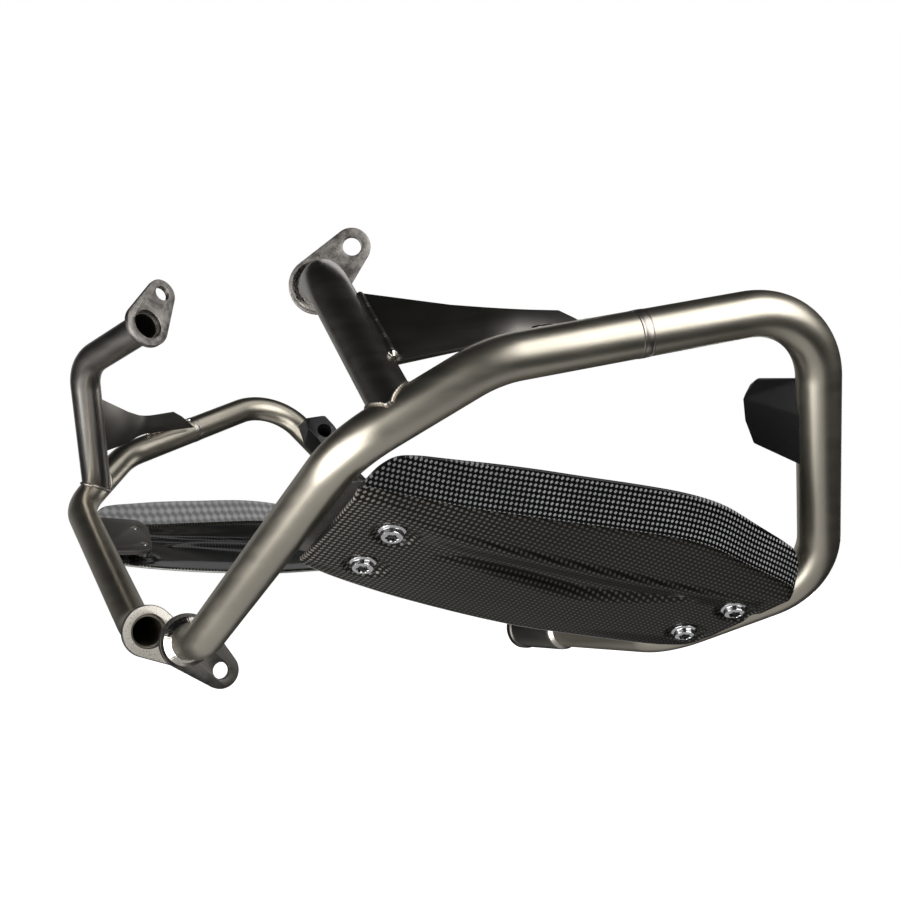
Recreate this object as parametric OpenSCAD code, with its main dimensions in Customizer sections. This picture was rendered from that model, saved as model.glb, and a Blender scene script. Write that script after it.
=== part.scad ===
/* [Tubes] */
// Outside diameter of every guard tube
tube_od = 25.4; // [20:0.2:32]
// Wall thickness of the tubes
tube_wall = 2; // [1.5:0.1:3]
// Centreline radius of the ordinary bends
bend_r = 50; // [40:1:60]
// Centreline radius of the lower rear bend
heel_bend_r = 45; // [38:1:48]
// Centreline radius of the two gentle bends of the front tube
soft_bend_r = 60; // [45:1:62]

/* [Guard shape] */
// Distance of each lower mount plate from the middle plane
mount_y = 27; // [20:1:34]
// Lower front elbow
front_elbow = [0, 65, 2]; // [-400:1:400]
// First bend of the front tube
front_knee = [-19, 267, 104]; // [-400:1:400]
// Second bend of the front tube
front_shoulder = [-82, 313, 144]; // [-400:1:400]
// Upper rear corner
rear_corner = [-263, 362, 175]; // [-400:1:400]
// Lower rear corner
rear_heel = [-328, 285, 22]; // [-400:1:400]
// Inner bend before the rear mount
rear_knee = [-261, 214, -10]; // [-400:1:400]
// Distance of the rear mount's end from the middle plane
rear_end_y = 42; // [20:1:50]
// Bend of the right guard's strut, in the left guard's place
strut_knee = [-37, 195, 222]; // [-400:1:400]
// Where the left guard's strut bends, as a share of the way to the same point
left_bend_share = 0.88; // [0.8:0.01:1]
// Upper end of the strut
strut_end = [-75, 105, 233]; // [-400:1:400]
// Where the strut stands on the front tube, as a share of its middle stretch
strut_share = 0.37; // [0.3:0.01:0.5]
// Where the two tubes of a guard join, as a share of the upper stretch
joint_share = 0.43; // [0.35:0.01:0.6]

/* [Second guard] */
// How far the right guard is pitched from the mirror image of the left one
right_pitch = 12; // [0:1:15]
// Shift of the right guard along the length
right_shift_x = 12; // [0:1:20]
// Shift of the right guard upward
right_shift_z = 6; // [0:1:10]

/* [Mount plates] */
// Thickness of the mount plates
plate_t = 5; // [4:0.5:8]
// Radius of the big end of the mount plates
plate_big_r = 19; // [17:0.5:24]
// Radius of the small end of the mount plates
plate_small_r = 12.5; // [10:0.5:15]
// Bore of the mount plates inside the tubes' ends
plate_bore_d = 24.4; // [22:0.1:25]
// Bolt hole of the upper mount plates
upper_hole_d = 12.5; // [8:0.5:14]
// Bolt hole of the lower mount plates
lower_hole_d = 11.5; // [8:0.5:14]
// Distance from bore to bolt hole on the upper plates
upper_reach = 35.5; // [32:0.5:45]
// Distance from bore to bolt hole on the lower plates
lower_reach = 31; // [30:0.5:45]
// Slope of the lower plates below the horizontal
lower_slope = 44; // [0:1:90]
// Outside diameter of the rear mount boss
boss_od = 30; // [28:0.5:36]
// Length of the rear mount boss
boss_len = 58; // [40:1:70]
// Bolt bore of the rear mount boss
boss_bore_d = 10.5; // [8:0.5:13]
// Size of the weld beads
bead = 2.5; // [1.5:0.1:4]
// How much lower the bead is on the front tube than on the strut
bead_step = 0.8;
// How much wider the bead's bore is than the strut
weld_play = 0.6;

/* [Panel] */
// Thickness of the carbon panel
panel_t = 2.5; // [2:0.5:5]
// Rise of the side wall for each step outward
wall_rise = 2; // [1:0.1:4]
// Height of the side wall
wall_h = 29; // [20:1:34]
// Thickness of the panel brackets
bracket_t = 4; // [3:0.5:6]
// Height of the weld nuts between the panel and its brackets
nut_h = 7.5; // [6:0.5:9]
// Outside diameter of the weld nuts
nut_od = 14; // [12:0.5:16]
// Shank diameter of the panel screws
screw_d = 8; // [6:1:10]
// Flange diameter of the panel screws
flange_d = 16; // [13:0.5:20]
// Head diameter of the panel screws
head_d = 12.5; // [10:0.5:15]
// Height of the panel screws' heads above the panel
head_h = 4.3; // [3:0.1:7]
// Size across the sockets of the panel screws
socket_d = 6.6; // [5:0.1:8]

/* [Bumper block] */
// Width of the bumper block
block_w = 24; // [18:1:30]
// Reach of the bumper block from the tube's centreline
block_reach = 45; // [36:1:55]

/* [Hidden] */
$fn = 48;
tube_r = tube_od / 2;
tube_id = tube_od - 2 * tube_wall;
up = [0, 0, 1];
inward = [0, -1, 0];
lower_end = [0, mount_y, 0];
rear_end = [rear_knee[0], rear_end_y, rear_knee[2]];
// Hairline between the drawn stretches of one tube, and overlap of the same stretches as a cutter
hairline = 0.02;
cutter_lap = 0.5;
strut_foot = blend(front_knee, front_shoulder, strut_share);
tube_joint = blend(front_shoulder, rear_corner, joint_share);
boss_start = rear_end + [0, boss_len, 0];

// Panel frame: s runs back along the panel, t runs outward, n points out of its lower face
panel_o = [-52, 229, 54];
panel_s = unit([-204, 33, -54]);
panel_n = unit(cross(panel_s, [-3, 34.4, 16.1]));
panel_tt = cross(panel_n, panel_s);
// Direction in which the side wall rises, in the same frame
wall_raw = [0, 1, wall_rise];
wall_dir = unit([wall_raw * panel_s, wall_raw * panel_tt, wall_raw * panel_n]);
// Fold between the main face and the side wall, from front to rear
fold = [[-25, 50], [27, 51], [75, 58], [120, 65], [150, 69], [172, 68], [200, 60], [236, 51]];
// Free edge of the main face, from rear to front
free_edge = [[241, 43], [232, 17], [222, -22], [218, -32], [198, -40], [151, -47], [105, -51],
    [41, -48], [-6, -40], [-35, -29], [-33, 10], [-30, 45]];
front_screws = [[2, 19], [-2, -18]];
rear_screws = [[219, 19], [207, -17]];
// Level of the brackets' inner faces, below the weld nuts and the panel
bracket_n = -panel_t - nut_h - bracket_t;
// Share of the full wall height at each point of the fold
wall_share = [0.78, 1, 1, 1, 1, 1, 0.98, 0.7];

// Gusset: a plate from the strut to its fold, then a flange along the tube
gusset_plate = [[-50, 229, 196], [-84, 270, 182], [-104, 289, 175], [-97, 298, 161], [-80, 290, 155],
    [-47, 266, 149]];
gusset_flange = [[-104, 289, 175], [-118, 294, 176], [-134, 301, 178], [-141, 309, 175],
    [-152, 328, 168], [-97, 298, 161]];
gusset_t = 3;

function unit(v) = v / norm(v);
function blend(a, b, share) = a + (b - a) * share;
function angle_between(a, b) = acos(min(1, max(-1, unit(a) * unit(b))));
// Any direction square to v
function square_to(v) = unit(cross(v, abs(unit(v)[2]) > 0.9 ? [1, 0, 0] : up));
function in_panel(p) = panel_o + panel_s * p[0] + panel_tt * p[1] + panel_n * p[2];
// Length of tube that a bend takes up on each side of its corner
function bend_take(a, b, c, r) = r * tan(angle_between(b - a, c - b) / 2);

// Places children with their x, y and z along the given directions
module in_frame(o, x, y, z) {
    multmatrix([[x[0], y[0], z[0], o[0]], [x[1], y[1], z[1], o[1]], [x[2], y[2], z[2], o[2]]])
        children();
}

// Places children with z running from a to b
module along(a, b) {
    z = unit(b - a);
    x = square_to(z);
    in_frame(a, x, cross(z, x), z) children();
}

module in_panel_frame() {
    in_frame(panel_o, panel_s, panel_tt, panel_n) children();
}

module ring(outer, inner) {
    difference() {
        circle(d = outer);
        if (inner > 0) circle(d = inner);
    }
}

module straight(a, b, outer, inner) {
    along(a, b) linear_extrude(norm(b - a)) ring(outer, inner);
}

// The bend at corner b of the route a, b, c
module bend(a, b, c, r, outer, inner) {
    d1 = unit(b - a);
    d2 = unit(c - b);
    turn = angle_between(d1, d2);
    start = b - d1 * r * tan(turn / 2);
    centre = b + unit(d2 - d1) * r / cos(turn / 2);
    x = unit(start - centre);
    in_frame(centre, x, d1, cross(x, d1))
        rotate_extrude(angle = turn, $fn = 96) translate([r, 0]) ring(outer, inner);
}

// A tube along a route, with a bend of radii[i] at its i-th inner corner. Each straight stretch
// stops short of its bends by the gap, or laps into them where the gap is negative.
module bent_tube(route, radii, outer, inner, gap = hairline) {
    n = len(route);
    take = [for (i = [0:n - 1]) (i == 0 || i == n - 1) ? 0
        : bend_take(route[i - 1], route[i], route[i + 1], radii[i - 1])];
    for (i = [0:n - 2]) {
        d = unit(route[i + 1] - route[i]);
        from = route[i] + d * (take[i] + (i == 0 ? 0 : gap));
        to = route[i + 1] - d * (take[i + 1] + (i == n - 2 ? 0 : gap));
        straight(from, to, outer, inner);
    }
    for (i = [1:n - 2]) bend(route[i - 1], route[i], route[i + 1], radii[i - 1], outer, inner);
}

// A flat plate of thickness t whose outline passes through points of one plane
module flat_plate(points, t) {
    o = points[0];
    x = unit(points[1] - o);
    z = unit(cross(x, points[len(points) - 1] - o));
    y = cross(z, x);
    in_frame(o, x, y, z) translate([0, 0, -t / 2]) linear_extrude(t)
        polygon([for (p = points) [(p - o) * x, (p - o) * y]]);
}

front_route = [lower_end + [0, plate_t, 0], front_elbow, front_knee, front_shoulder, tube_joint];
front_radii = [bend_r, soft_bend_r, soft_bend_r];
rear_route = [tube_joint, rear_corner, rear_heel, rear_knee, boss_start];
rear_radii = [bend_r, heel_bend_r, bend_r];
upper_axis = unit(strut_knee - strut_end);
strut_top = strut_end + plate_t * upper_axis;
strut_route = [strut_foot, strut_knee, strut_top];
left_strut_knee = blend(strut_foot, strut_knee, left_bend_share);
strut_radii = [bend_r];

module front_tube() {
    color("#a59c8f") bent_tube(front_route, front_radii, tube_od, tube_id);
}

module rear_tube() {
    color("#a59c8f") bent_tube(rear_route, rear_radii, tube_od, tube_id);
}

module tube_joint_weld() {
    half = 3.4;
    d = unit(rear_corner - front_shoulder);
    color("#c9c2b6") straight(tube_joint - d * half, tube_joint + d * half, tube_od + 1.6, tube_od);
}

// The front tube near the strut, as a cutter
module front_cutter() {
    bent_tube([front_elbow, front_knee, front_shoulder, tube_joint], [soft_bend_r, soft_bend_r],
        tube_od + 0.2, 0, -cutter_lap);
}

module strut_cutter() {
    bent_tube(strut_route, strut_radii, tube_od + 0.1, 0, -cutter_lap);
}

// The rear tube from its upper corner to its mount, as a cutter
module rear_cutter() {
    bent_tube([rear_corner, rear_heel, rear_knee, boss_start], [heel_bend_r, bend_r], tube_od + 0.6, 0,
        -cutter_lap);
}

// The middle stretch of the front tube, as a cutter for what stands on it
module saddle_cutter() {
    straight(front_knee, front_shoulder, tube_od + 0.3, 0);
}

// The strut is coped where it stands on the front tube, and cut flat where it meets its plate
module strut_tube(knee) {
    past_top = strut_top + 3 * unit(strut_top - knee);
    size = 60;
    depth = 20;
    color("#a59c8f") difference() {
        bent_tube([strut_foot, knee, past_top], strut_radii, tube_od, tube_id);
        saddle_cutter();
        at_upper_end() translate([-size / 2, -size / 2, plate_t - depth]) cube([size, size, depth]);
    }
}

// The bead lies where a slightly fatter strut and a slightly fatter front tube share space
module strut_foot_weld() {
    fat = tube_od + 2 * bead;
    color("#d8d2c8") difference() {
        intersection() {
            straight(strut_foot, strut_knee, fat, 0);
            straight(front_knee, front_shoulder, fat - bead_step, 0);
        }
        straight(strut_foot - unit(strut_knee - strut_foot), strut_knee, tube_od + weld_play, 0);
        saddle_cutter();
    }
}

// Teardrop plate: big end round the origin, small end at [reach, 0]. Its flanks start just
// inside both ends, so that they cross the round edges cleanly.
module teardrop(reach) {
    a = acos((plate_big_r - plate_small_r) / reach);
    big = plate_big_r - 0.1;
    small = plate_small_r - 0.1;
    cylinder(h = plate_t, r = plate_big_r);
    translate([reach, 0, 0]) cylinder(h = plate_t, r = plate_small_r);
    linear_extrude(plate_t) polygon([big * [cos(a), sin(a)], [reach, 0] + small * [cos(a), sin(a)],
        [reach, 0] + small * [cos(a), -sin(a)], big * [cos(a), -sin(a)]]);
}

// Mount plate with its inner face at z = 0 and the tube standing on its outer face
module mount_plate(reach, hole_d) {
    color("#8f877c") difference() {
        teardrop(reach);
        translate([0, 0, -1]) cylinder(h = plate_t + 2, d = plate_bore_d);
        translate([reach, 0, -1]) cylinder(h = plate_t + 2, d = hole_d);
    }
}

// Weld fillet round the tube where it stands on a mount plate
module collar_weld() {
    color("#e2ddd4") rotate_extrude() polygon([[tube_r, plate_t], [tube_r + 4, plate_t],
        [tube_r + 3.2, plate_t + 1.8], [tube_r + 1.4, plate_t + 3.8], [tube_r, plate_t + 5.5]]);
}

module at_upper_end() {
    z = upper_axis;
    x = unit(cross(cross(z, [-20, 14, 25]), z));
    in_frame(strut_end, x, cross(z, x), z) children();
}

module at_lower_end() {
    x = [-cos(lower_slope), 0, -sin(lower_slope)];
    in_frame(lower_end, x, cross([0, 1, 0], x), [0, 1, 0]) children();
}

module upper_mount_plate() {
    at_upper_end() mount_plate(upper_reach, upper_hole_d);
}

module upper_collar_weld() {
    at_upper_end() collar_weld();
}

module lower_mount_plate() {
    at_lower_end() mount_plate(lower_reach, lower_hole_d);
}

module lower_collar_weld() {
    at_lower_end() collar_weld();
}

// Rear boss: a plain bush with a rim at its inner end and a cross hole for its locking screw
module rear_mount_boss() {
    rim = 6;
    color("#8f877c") difference() {
        union() {
            translate(rear_end) rotate([-90, 0, 0]) cylinder(h = boss_len, d = boss_od);
            translate(rear_end + [0, 2, 0]) rotate([-90, 0, 0]) cylinder(h = rim, d = boss_od + 2);
        }
        translate(rear_end + [0, -1, 0]) rotate([-90, 0, 0]) cylinder(h = boss_len + 2, d = boss_bore_d);
        translate(rear_end + [0, 20, 0]) rotate([0, 90, 0]) cylinder(h = boss_od, d = 8);
    }
}

module gusset_plate_part() {
    color("#55514c") difference() {
        flat_plate(gusset_plate, gusset_t);
        front_cutter();
        strut_cutter();
    }
}

module gusset_flange_part() {
    color("#55514c") difference() {
        flat_plate(gusset_flange, gusset_t);
        flat_plate(gusset_plate, gusset_t + 0.02);
        front_cutter();
        strut_cutter();
    }
}

module bracket_holes(screws, d) {
    for (p = screws) translate([p[0], p[1], -40]) cylinder(h = 80, d = d);
}

module front_panel_bracket() {
    color("#55514c") difference() {
        in_panel_frame() difference() {
            translate([0, 0, bracket_n]) linear_extrude(bracket_t)
                polygon([[-46, -36], [-8, -34], [2, -27], [6, -14], [16, 24], [11, 38], [-30, 43]]);
            bracket_holes(front_screws, screw_d);
        }
        straight(front_elbow, front_knee, tube_od, 0);
    }
}

// The rear bracket is a flat tab with a web that reaches the tube
module rear_panel_bracket() {
    web_depth = 30;
    color("#55514c") difference() {
        in_panel_frame() difference() {
            union() {
                translate([0, 0, bracket_n]) linear_extrude(bracket_t)
                    polygon([[196, -28], [212, -28], [229, 12], [229, 29], [208, 29]]);
                translate([0, 0, -web_depth]) linear_extrude(web_depth + bracket_n + bracket_t)
                    polygon([[212, -9], [216, -13], [250, 1], [247, 5]]);
            }
            bracket_holes(rear_screws, screw_d);
        }
        rear_cutter();
    }
}

// Main face of the panel, with a hole for each screw
module carbon_panel() {
    color("#26282b") difference() {
        in_panel_frame() difference() {
            translate([0, 0, -panel_t]) linear_extrude(panel_t) polygon(concat(fold, free_edge));
            bracket_holes(concat(front_screws, rear_screws), screw_d);
        }
        rear_cutter();
        straight(front_elbow, front_knee, tube_od + 1, 0);
    }
}

// Side wall: a strip that rises from the fold, closed as one shell
module carbon_side_wall() {
    count = len(fold);
    low = [for (i = [0:count - 1]) [fold[i][0], fold[i][1], 0]];
    high = [for (i = [0:count - 1]) low[i] + wall_dir * wall_h * wall_share[i]];
    back = [0, -panel_t, -panel_t];
    ring_of = function(i) [in_panel(low[i] + [0, 0.02, 0]), in_panel(high[i]),
        in_panel(high[i] + back), in_panel(low[i] + [0, 0.02, -panel_t])];
    points = [for (i = [0:count - 1]) each ring_of(i)];
    sides = [for (i = [0:count - 2]) for (k = [0:3])
        let (a = 4 * i + k, b = 4 * i + (k + 1) % 4) each [[a, b, b + 4], [a, b + 4, a + 4]]];
    last = 4 * (count - 1);
    ends = [[3, 2, 1, 0], [last, last + 1, last + 2, last + 3]];
    color("#26282b") polyhedron(points = points, faces = concat(sides, ends));
}

// Flange screw with its flange on the panel and a six-lobed socket drawn as a plain recess
module panel_screw(p) {
    translate([p[0], p[1], 0]) difference() {
        union() {
            cylinder(h = 1.5, d = flange_d);
            cylinder(h = head_h, d = head_d);
            translate([0, 0, bracket_n]) cylinder(h = -bracket_n, d = screw_d);
        }
        translate([0, 0, 1.2]) cylinder(h = head_h, d = socket_d);
    }
}

// Round weld nut between the bracket and the panel
module panel_nut(p) {
    translate([p[0], p[1], -panel_t - nut_h]) difference() {
        cylinder(h = nut_h, d = nut_od);
        translate([0, 0, -1]) cylinder(h = nut_h + 2, d = screw_d);
    }
}

module front_panel_screws() {
    color("#d9dbdd") in_panel_frame() for (p = front_screws) panel_screw(p);
}

module rear_panel_screws() {
    color("#d9dbdd") in_panel_frame() for (p = rear_screws) panel_screw(p);
}

module front_panel_nuts() {
    color("#b9bbbd") in_panel_frame() for (p = front_screws) panel_nut(p);
}

module rear_panel_nuts() {
    color("#b9bbbd") in_panel_frame() for (p = rear_screws) panel_nut(p);
}

// Block frame: x away from the tube, y up along the tube from the heel, z forward
module in_block_frame() {
    y = unit(rear_corner - rear_heel);
    x = unit(inward - y * (inward * y));
    in_frame(rear_heel, x, y, cross(x, y)) children();
}

block_mid = 104;

module bumper_block() {
    half = block_w / 2;
    r = block_reach;
    color("#1d1e20") difference() {
        in_block_frame() difference() {
            hull() {
                translate([0, 0, -half]) linear_extrude(block_w) polygon([[2, 84], [r - 7, 88],
                    [r - 1, 102], [r, 116.5], [2, 117]]);
                translate([0, 0, -5]) linear_extrude(2) polygon([[2, 90], [r, 123], [r - 5, 128],
                    [11, 135.5], [2, 136.5]]);
            }
            translate([18, block_mid, 0]) rotate([0, 90, 0]) cylinder(h = 40, d = 15);
            rotate([0, 90, 0]) translate([0, block_mid, 0]) cylinder(h = 40, d = 6.5);
        }
        straight(rear_corner, rear_heel, tube_od + 0.1, 0);
    }
}

module bumper_screw() {
    color("#77797c") in_block_frame() translate([0, block_mid, 0]) rotate([0, 90, 0]) difference() {
        union() {
            translate([0, 0, tube_r + 0.2]) cylinder(h = 12, d = 6);
            translate([0, 0, 18]) cylinder(h = 5, d = 10);
        }
        translate([0, 0, 20]) cylinder(h = 4, d = 5);
    }
}

module left() {
    children();
}

// The right guard is the mirror image, pitched about the bore of its lower mount
module right() {
    translate([right_shift_x, 0, right_shift_z]) rotate([0, right_pitch, 0]) mirror([0, 1, 0])
        children();
}

left() front_tube();  // left_front_tube
left() rear_tube();  // left_rear_tube
left() tube_joint_weld();  // left_tube_joint_weld
left() strut_tube(left_strut_knee);  // left_strut_tube
left() strut_foot_weld();  // left_strut_foot_weld
left() upper_mount_plate();  // left_upper_mount_plate
left() upper_collar_weld();  // left_upper_collar_weld
left() lower_mount_plate();  // left_lower_mount_plate
left() lower_collar_weld();  // left_lower_collar_weld
left() rear_mount_boss();  // left_rear_mount_boss
left() gusset_plate_part();  // left_gusset_plate
left() gusset_flange_part();  // left_gusset_flange
left() front_panel_bracket();  // left_front_panel_bracket
left() rear_panel_bracket();  // left_rear_panel_bracket
left() carbon_panel();  // left_carbon_panel
left() carbon_side_wall();  // left_carbon_side_wall
left() front_panel_screws();  // left_front_panel_screws
left() rear_panel_screws();  // left_rear_panel_screws
left() front_panel_nuts();  // left_front_panel_nuts
left() rear_panel_nuts();  // left_rear_panel_nuts
left() bumper_block();  // left_bumper_block
left() bumper_screw();  // left_bumper_screw
right() front_tube();  // right_front_tube
right() rear_tube();  // right_rear_tube
right() tube_joint_weld();  // right_tube_joint_weld
right() strut_tube(strut_knee);  // right_strut_tube
right() strut_foot_weld();  // right_strut_foot_weld
right() upper_mount_plate();  // right_upper_mount_plate
right() upper_collar_weld();  // right_upper_collar_weld
right() lower_mount_plate();  // right_lower_mount_plate
right() lower_collar_weld();  // right_lower_collar_weld
right() rear_mount_boss();  // right_rear_mount_boss
right() gusset_plate_part();  // right_gusset_plate
right() gusset_flange_part();  // right_gusset_flange
right() front_panel_bracket();  // right_front_panel_bracket
right() rear_panel_bracket();  // right_rear_panel_bracket
right() carbon_panel();  // right_carbon_panel
right() carbon_side_wall();  // right_carbon_side_wall
right() front_panel_screws();  // right_front_panel_screws
right() rear_panel_screws();  // right_rear_panel_screws
right() front_panel_nuts();  // right_front_panel_nuts
right() rear_panel_nuts();  // right_rear_panel_nuts
right() bumper_block();  // right_bumper_block
right() bumper_screw();  // right_bumper_screw
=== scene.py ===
"""A pair of titanium engine guards with folded carbon-fibre panels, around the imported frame."""
import math

import bmesh
import bpy
from mathutils import Matrix, Vector

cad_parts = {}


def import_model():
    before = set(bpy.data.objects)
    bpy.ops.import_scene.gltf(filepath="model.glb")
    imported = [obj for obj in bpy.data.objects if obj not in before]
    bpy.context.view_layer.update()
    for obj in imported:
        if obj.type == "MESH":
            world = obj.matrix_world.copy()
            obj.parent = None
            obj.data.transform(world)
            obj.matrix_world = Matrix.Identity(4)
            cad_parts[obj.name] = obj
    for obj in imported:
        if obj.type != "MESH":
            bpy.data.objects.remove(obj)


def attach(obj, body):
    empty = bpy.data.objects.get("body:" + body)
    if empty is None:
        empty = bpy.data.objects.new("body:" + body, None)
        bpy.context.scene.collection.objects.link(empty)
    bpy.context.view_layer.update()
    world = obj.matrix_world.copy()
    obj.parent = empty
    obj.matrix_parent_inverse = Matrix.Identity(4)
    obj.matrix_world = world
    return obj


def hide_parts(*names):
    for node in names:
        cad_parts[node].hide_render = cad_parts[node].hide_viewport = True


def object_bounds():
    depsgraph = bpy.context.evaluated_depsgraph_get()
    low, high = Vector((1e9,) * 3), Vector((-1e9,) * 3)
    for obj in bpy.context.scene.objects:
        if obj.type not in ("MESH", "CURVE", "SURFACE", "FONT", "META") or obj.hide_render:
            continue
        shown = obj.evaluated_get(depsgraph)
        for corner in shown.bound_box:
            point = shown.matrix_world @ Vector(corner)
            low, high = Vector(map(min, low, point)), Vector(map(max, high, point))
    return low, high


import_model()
cad_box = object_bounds()

# All shapes are made in millimetres in the left guard's own place, then set down on each side.
MM = 0.001
RIGHT_SHIFT = (12, 0, 6)
RIGHT_PITCH = math.radians(12)
PLACE = {
    "left": Matrix.Identity(4),
    "right": Matrix.Translation(RIGHT_SHIFT) @ Matrix.Rotation(RIGHT_PITCH, 4, "Y")
    @ Matrix.Scale(-1, 4, (0, 1, 0)),
}
UP = Vector((0, 0, 1))

# Tubes: the corners of their centre lines, and the radius of each bend. The left strut's bend lies
# this share of the way from its foot to the right one's
TUBE_R = 12.7
TUBE_WALL = 2.0
TUBE_SIDES = 64
FRONT_ELBOW = Vector((0, 65, 2))
FRONT_KNEE = Vector((-19, 267, 104))
FRONT_SHOULDER = Vector((-82, 313, 144))
REAR_CORNER = Vector((-263, 362, 175))
REAR_HEEL = Vector((-328, 285, 22))
REAR_KNEE = Vector((-261, 214, -10))
STRUT_KNEE = Vector((-37, 195, 222))
STRUT_END = Vector((-75, 105, 233))
LOWER_END = Vector((0, 27, 0))
STRUT_FOOT = FRONT_KNEE.lerp(FRONT_SHOULDER, 0.37)
TUBE_JOINT = FRONT_SHOULDER.lerp(REAR_CORNER, 0.43)
FRONT_BENDS = (50, 60, 60)
REAR_BENDS = (50, 45, 50)
STRUT_BENDS = (50,)
LEFT_BEND_SHARE = 0.88
REAR_END = Vector((-261, 42, -10))
BOSS_LEN = 58
BOSS_START = REAR_END + Vector((0, BOSS_LEN, 0))

# Mount plates: a big end round the tube and a small end round the bolt hole, reach apart
PLATE_T = 5.0
PLATE_BORE = 24.4
PLATE_BIG_R = 19.0
PLATE_SMALL_R = 12.5
UPPER_REACH, UPPER_HOLE = 35.5, 12.5
LOWER_REACH, LOWER_HOLE = 31, 11.5
LOWER_SLOPE = math.radians(44)

# Panel frame: s runs back along the panel, t runs outward, n points out of its outer face
PANEL_O = Vector((-52, 229, 54))
PANEL_S = Vector((-204, 33, -54)).normalized()
PANEL_N = PANEL_S.cross(Vector((-3, 34.4, 16.1))).normalized()
PANEL_T = PANEL_N.cross(PANEL_S)
PANEL_SHEET = 2.5
WALL_DIR = Vector((0, 1, 2)).normalized()
# The brackets' inner level behind the panel, their thickness, and the screws at each end, as (s, t)
BRACKET_N = -14.0
BRACKET_T = 4.0
FRONT_SCREWS = ((2, 19), (-2, -18))
REAR_SCREWS = ((219, 19), (207, -17))


# ---- placing and joining meshes

def frame_at(origin, x, y, z):
    """Matrix that puts local x, y and z along the given directions."""
    m = Matrix.Identity(4)
    for i, axis in enumerate((x, y, z)):
        m.col[i] = (*axis, 0)
    m.col[3] = (*origin, 1)
    return m


def along(a, b):
    """Matrix with z running from a to b."""
    z = (b - a).normalized()
    x = z.cross(UP if abs(z.z) < 0.9 else Vector((1, 0, 0))).normalized()
    return frame_at(a, x, z.cross(x), z)


def crosswise(origin):
    """Matrix with z running along +Y."""
    return frame_at(origin, UP, Vector((1, 0, 0)), Vector((0, 1, 0)))


PANEL_FRAME = frame_at(PANEL_O, PANEL_S, PANEL_T, PANEL_N)


def add_object(name, data):
    """A new object in the scene."""
    item = bpy.data.objects.new(name, data)
    bpy.context.scene.collection.objects.link(item)
    return item


class Shape:
    """Points and faces in the left guard's place, in mm, with a flat coordinate for woven surfaces."""

    def __init__(self):
        self.verts = []
        self.faces = []
        self.flat = {}

    def add(self, verts, faces, matrix=None, flat=None):
        base = len(self.verts)
        self.verts += [matrix @ Vector(v) if matrix else Vector(v) for v in verts]
        self.faces += [tuple(base + i for i in f) for f in faces]
        if flat:
            for i, uv in enumerate(flat):
                self.flat[base + i] = uv
        return self


def put(name, shape, side, material, nodes=None, smooth=32):
    """Sets a shape down on one side as a piece that rides on the one body.

    It replaces the CAD node of its own name unless nodes says otherwise."""
    mesh = bpy.data.meshes.new(f"{side}_{name}")
    place = Matrix.Scale(MM, 4) @ PLACE[side]
    mesh.from_pydata([place @ v for v in shape.verts], [], shape.faces)
    bm = bmesh.new()
    bm.from_mesh(mesh)
    bmesh.ops.recalc_face_normals(bm, faces=bm.faces)
    bm.to_mesh(mesh)
    bm.free()
    if shape.flat:
        layer = mesh.uv_layers.new(name="weave")
        for loop in mesh.loops:
            layer.data[loop.index].uv = shape.flat.get(loop.vertex_index, (0, 0))
    mesh.validate()
    mesh.shade_smooth()
    mesh.set_sharp_from_angle(angle=math.radians(smooth))
    mesh.materials.append(material)
    piece = add_object(f"{side}_{name}_look", mesh)
    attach(piece, "root")
    nodes = (name,) if nodes is None else nodes
    if nodes:
        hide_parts(*[f"{side}_{n}" for n in nodes])


# ---- tubes, lathe work and plates

def centreline(route, radii):
    """Stations (point, direction) along a route whose inner corners are rounded by arcs."""
    step = math.radians(2.5)
    first = (route[1] - route[0]).normalized()
    stations = [(route[0].copy(), first)]
    for i in range(1, len(route) - 1):
        d1 = (route[i] - route[i - 1]).normalized()
        d2 = (route[i + 1] - route[i]).normalized()
        turn = d1.angle(d2)
        start = route[i] - d1 * radii[i - 1] * math.tan(turn / 2)
        centre = route[i] + (d2 - d1).normalized() * radii[i - 1] / math.cos(turn / 2)
        steps = max(4, math.ceil(turn / step))
        for k in range(steps + 1):
            spin = Matrix.Rotation(turn * k / steps, 3, d1.cross(d2).normalized())
            stations.append((centre + spin @ (start - centre), spin @ d1))
    stations.append((route[-1].copy(), (route[-1] - route[-2]).normalized()))
    return stations


def rings(stations, radius_at, sides):
    """Rings of points along the stations, turned as little as possible from one to the next."""
    side = stations[0][1].cross(UP)
    if side.length < 0.2:
        side = stations[0][1].cross(Vector((1, 0, 0)))
    out = []
    for i, (point, direction) in enumerate(stations):
        side = (side - direction * side.dot(direction)).normalized()
        other = direction.cross(side)
        ring = []
        for k in range(sides):
            a = 2 * math.pi * k / sides
            ring.append(point + (side * math.cos(a) + other * math.sin(a)) * radius_at(i, a))
        out.append(ring)
    return out


def skin(ring_list, closed=False, inward=False):
    """Quads between successive rings."""
    sides = len(ring_list[0])
    count = len(ring_list)
    faces = []
    for i in range(count if closed else count - 1):
        j = (i + 1) % count
        for k in range(sides):
            m = (k + 1) % sides
            quad = (i * sides + k, i * sides + m, j * sides + m, j * sides + k)
            faces.append(quad[::-1] if inward else quad)
    return [p for ring in ring_list for p in ring], faces


def on_saddle(point, direction, origin, axis, radius):
    """Where a line through the point meets a round tube, on the side that the direction leads to."""
    w = point - origin
    w -= axis * w.dot(axis)
    d = direction - axis * direction.dot(axis)
    a, b, c = d.dot(d), w.dot(d), w.dot(w) - radius * radius
    return point + direction * ((-b + math.sqrt(max(0.0, b * b - a * c))) / a)


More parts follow.
